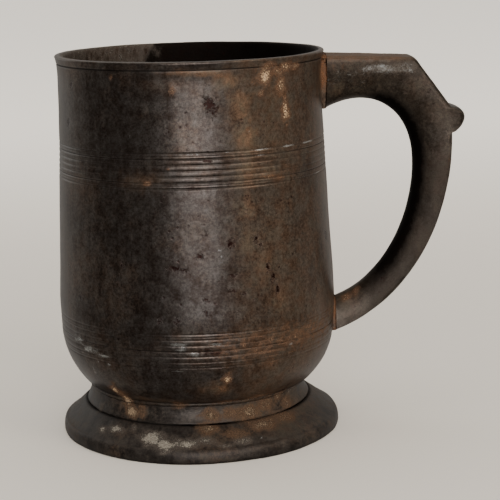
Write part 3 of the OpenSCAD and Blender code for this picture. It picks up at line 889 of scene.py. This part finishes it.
def handleStations():
    h = handle
    start, elbow = Vector((h["upperEnd"], h["topZ"])), Vector(h["elbow"])
    bevel, nubA, nubB = Vector(h["bevelEnd"]), Vector(h["nubStart"]), Vector(h["nubEnd"])
    out = Vector(((nubB - nubA).y, -(nubB - nubA).x)).normalized() * -1
    still = Vector((0, 0))
    rows = []
    for t in np.linspace(0, 1, 44):
        rows.append((start.lerp(elbow, t), 0.19 * t, still))
    for t in np.linspace(0.2, 0.8, 4):
        crown = Vector((0.25, 0.25)) * math.sin(math.pi * t)
        rows.append((elbow.lerp(bevel, t) + crown, 0.19 + 0.025 * t, still))
    for t in np.linspace(0, 1, 28):
        rows.append((bevel.lerp(nubA, t), 0.215 + 0.085 * t, still))
    for t in np.linspace(0.04, 0.96, 22):
        bulge = math.sin(math.pi * t) ** 0.55
        push = out * h["nubOut"] * bulge + Vector((0, 0.8)) * math.sin(math.pi * t)
        rows.append((nubA.lerp(nubB, t), 0.30 + 0.08 * t, push))
    for t in np.linspace(0, 1, 96):
        rows.append((along(h["outerBend"], t), 0.38 + 0.62 * t, still))
    narrowing = h["tipHalf"] - h["topHalf"]
    return [(base, innerAt(share), h["topHalf"] + narrowing * share, push) for base, share, push in rows]


def smoothStep(t):
    t = min(1, max(0, t))
    return t * t * (3 - 2 * t)


def sectionPoint(angle, outer, inner, half, push):
    # D section: flat outer face with arrises, sides that round under; the thumb nub pushes the face out
    across, down = math.cos(angle), math.sin(angle)
    if down >= 0:
        depth = (1 - abs(across) ** 2.2) ** (1 / 2.05)
        width = half * (1 - 0.025 * min(1, depth * 1.6))
        lift = 0.0
    else:
        depth = 0.0
        width = half
        lift = 0.02 * (1 - across ** 2)                     # the flat face is slightly crowned
    outward = smoothStep(1 - depth * 7)
    narrow = 1 - 0.012 * push.length * outward
    arris = 0.045 * max(0, abs(across) - 0.86) / 0.14 if down <= 0 else 0
    place = outer + (inner - outer) * (depth + arris - lift) + push * outward
    return Vector((place.x, width * narrow * across, place.y))


def roundAngles(sides):
    return [math.tau * (i + 0.5) / sides for i in range(sides)]


def drawnOut(rings):
    # a tube drawn out from one ring of points to the next, and closed at both ends
    bm = bmesh.new()
    verts = bmesh.ops.create_circle(bm, segments=len(rings[0]), radius=1)["verts"]
    edges = list(bm.edges)
    for i, ring in enumerate(rings):
        if i:
            grown = bmesh.ops.extrude_edge_only(bm, edges=edges)["geom"]
            edges = [g for g in grown if isinstance(g, bmesh.types.BMEdge)]
            verts = [g for g in grown if isinstance(g, bmesh.types.BMVert)]
        for v, place in zip(verts, ring):
            v.co = place * mm
        if i in (0, len(rings) - 1):
            bmesh.ops.contextual_create(bm, geom=edges)
    bmesh.ops.recalc_face_normals(bm, faces=bm.faces)
    return bm


def makeHandle():
    angles = roundAngles(handle["sides"])
    bm = drawnOut([[sectionPoint(angle, *station) for angle in angles] for station in handleStations()])
    weather(bm, handle["uneven"], handleMarks)
    finishPiece(bm, "castHandle", "handlePewter", ["handle"], 50)


# Marks on the handle: x, y, z in millimetres, reach, strength.
marksOnHandle = {
    "wearAndSheen": [
        (69, -7.4, 117.4, 2.2, 0.6), (60, -6.8, 113.4, 2.6, 0.35), (88.6, -4, 101.5, 1.6, 0.4),
        (62, 7.6, 117.8, 4, 0.6)],
    "crust": [
        (49.5, -3.5, 42.4, 1.6, 0.8), (53, -3, 44.4, 1.4, 0.6), (46, -5.5, 119, 1.4, 0.7),
        (49, -6.8, 118.8, 0.8, 0.6), (47, 0, 122.4, 2.4, 0.6), (84, -6, 88, 1, 0.3)],
    "stain": [
        (50, -2, 122.5, 7, 0.85), (58, -2, 122.2, 8, 0.8), (66, 0, 121.8, 8, 0.65), (80, -5, 105, 5, 0.6),
        (47, -6, 112, 3, 0.8), (50, -3, 41, 4, 0.85), (84, -5, 84, 7, 0.5), (78, -5, 60, 7, 0.4),
        (64, -4, 42, 6, 0.35), (74, -6, 112, 5, 0.5)],
    "pit": [
        (84, -5.6, 92, 1.2, 0.6), (76, -6.5, 98, 1.1, 0.6), (70, -6.6, 110, 1.2, 0.5),
        (62, -5, 48, 1.5, 0.5), (82, -4.6, 96.5, 1.6, 0.6)],
    # painted shade in the undercut under the thumb nub and under the arm by the wall
    "grimeAndShade": [
        (86, -4, 96.4, 1.6, 0.8), (86, 4, 96.4, 1.6, 0.8), (45.5, -7, 112, 1.6, 0.6)],
    "scale": [
        (66.5, -7.6, 117.8, 2.6, 0.35)],
}


def handleMarks(points):
    ragged = noiseOver(points, (0.5, 1.0), (1.5, 0.6))
    masks = {}
    for kind, entries in marksOnHandle.items():
        mask = np.zeros(len(points))
        for x, y, z, reach, strength in entries:
            away = np.sqrt(((points - np.array((x, y, z))) ** 2).sum(1)) / reach
            mask = np.maximum(mask, strength * np.exp(-0.9 * (away * (1 + 0.4 * ragged)) ** 2))
        masks[kind] = mask
    # painted highlight in flecks of bright metal and pale scale along the rounded shoulder of the arm, and
    # the tan top face
    x, y, z = points.T
    paintedShoulderHighlight = np.exp(-((z - 118.3) / 2.0) ** 2) * smooth(x, 46, 62)
    paintedShoulderHighlight = paintedShoulderHighlight * smooth(x, 75, 71) * smooth(np.abs(y), 4.5, 6.5)
    atLeast(masks, "wearAndSheen", np.clip(0.80 + 0.35 * ragged, 0, 1.1) * paintedShoulderHighlight)
    atLeast(masks, "scale", np.clip(0.50 - 0.3 * ragged, 0, 0.9) * paintedShoulderHighlight)
    topFace = smooth(z, 120.2, 121.2) * smooth(x, 80, 66)
    atLeast(masks, "stain", topFace)
    atLeast(masks, "crust", 0.30 * topFace)
    # painted shade: the palm side, facing the wall, is darkened towards black; the lower bow is a little
    # darker too
    arch = np.array([innerAt(t) for t in np.linspace(0, 1, 90)])
    away = np.sqrt(np.min((x[:, None] - arch[:, 0]) ** 2 + (z[:, None] - arch[:, 1]) ** 2, axis=1))
    paintedPalmShade = 0.95 * smooth(away + 0.6 * ragged, 6.4, 0.8) * smooth(x, 50, 66)
    lowerBow = 0.34 * smooth(z, 97, 84) * smooth(x, 50, 60)
    atLeast(masks, "grimeAndShade", np.maximum(paintedPalmShade, lowerBow))
    paintedArmHighlight = 0.42 * smooth(z, 107, 114) * smooth(z, 120.5, 118) * smooth(x, 66, 56)      # painted highlight further along the upper arm
    atLeast(masks, "wearAndSheen", paintedArmHighlight)
    return masks


def jointMasks(points, faceX):
    lump = noiseOver(points, (0.35, 0.6), (1.1, 0.3))
    x, y, z = points.T
    wallX = np.sqrt(np.maximum(0, np.array([bodyRadius(min(h, rimZ)) for h in z]) ** 2 - y ** 2))
    edge = smooth(x, faceX - 0.45, faceX) * smooth(x, wallX + 0.2, wallX + 0.5)
    rusty = np.where(z > 80, smooth(z + 4 * lump, 109, 115), 0.75)
    return {"crust": np.clip(0.05 + 0.9 * lump + 0.35 * rusty, 0, 1), "stain": 0.25 + 0.75 * rusty,
            "grimeAndShade": np.clip(0.8 * edge + 0.15 - 0.7 * lump, 0, 1)}


joint = {"sides": 96, "rows": 12, "skin": 0.04, "bulge": 0.20, "sink": 0.5, "uneven": 2.0}


def makeJoint(name, node, station, faceX):
    # a lumpy bead of solder that runs round the handle's end, from the wall to the casting
    outer, inner, half, still = station
    centreZ = (outer.y + inner.y) / 2

    def place(angle, row):
        share = row / joint["rows"]
        grow = joint["skin"] + joint["bulge"] * math.sin(math.pi * share) ** 0.8
        spot = sectionPoint(angle, outer, inner, half, still)
        away = Vector((0, spot.y, spot.z - centreZ))
        away.normalize()
        y, z = spot.y + away.y * grow, spot.z + away.z * grow
        wallR = bodyRadius(min(z, rimZ - 0.2)) - joint["sink"]
        wallX = math.sqrt(max(0, wallR ** 2 - y ** 2))
        x = wallX + (faceX + 0.1 - wallX) * share
        return Vector((x, y, z))

    angles = roundAngles(joint["sides"])
    bm = drawnOut([[place(angle, row) for angle in angles] for row in range(joint["rows"] + 1)])
    weather(bm, joint["uneven"], lambda points: jointMasks(points, faceX))
    finishPiece(bm, name, "rustySolder", [node])


shelf = {
    "half": 6, "colour": (0.80, 0.75, 0.68, 1), "roughness": 0.7, "glowFrom": 0.08, "glowTo": 0.9,
    "nearGlow": (0.17, 0.15, 0.12, 1), "farGlow": (0.74, 0.69, 0.61, 1),      # the room gets lighter behind
}


def makeTable():
    bm = bmesh.new()
    bmesh.ops.create_grid(bm, x_segments=1, y_segments=1, size=shelf["half"])
    mesh = bpy.data.meshes.new("table")
    bm.to_mesh(mesh)
    bm.free()
    table = addObject("table", mesh)
    material = bpy.data.materials.new("paleTable")
    material.use_nodes = True
    shader = material.node_tree.nodes["Principled BSDF"]
    tree = material.node_tree
    shader.inputs["Base Color"].default_value = shelf["colour"]
    shader.inputs["Roughness"].default_value = shelf["roughness"]
    # painted light: the table glows, dim in front and bright behind, standing in for a lit wall
    shader.inputs["Emission Strength"].default_value = 1.0
    place = tree.nodes.new("ShaderNodeTexCoord")
    axes = tree.nodes.new("ShaderNodeSeparateXYZ")
    tree.links.new(place.outputs["Object"], axes.inputs["Vector"])
    far = rampOf(tree, axes.outputs["Y"], shelf["glowFrom"], shelf["glowTo"])
    glow = blendOf(tree, far, shelf["nearGlow"], shelf["farGlow"])
    tree.links.new(glow, shader.inputs["Emission Color"])
    mesh.materials.append(material)
    table.visible_glossy = False          # the shelf ends just in front, so the metal mirrors the dim room


makeCamera()
makeLights()
makeWorld()
makeTable()
print("stage set")

makeDrum()
makeBowl()
makeFloorDisc()
makeCollar()
makeFlange()
for name, (node, outline) in solderRings.items():
    makeSolderRing(name, node, outline)
makeHandle()
stations = handleStations()
makeJoint("upperJoint", "upper_handle_solder", stations[0], handle["upperEnd"])
makeJoint("lowerJoint", "lower_handle_solder", stations[-1], handle["lowerEnd"])
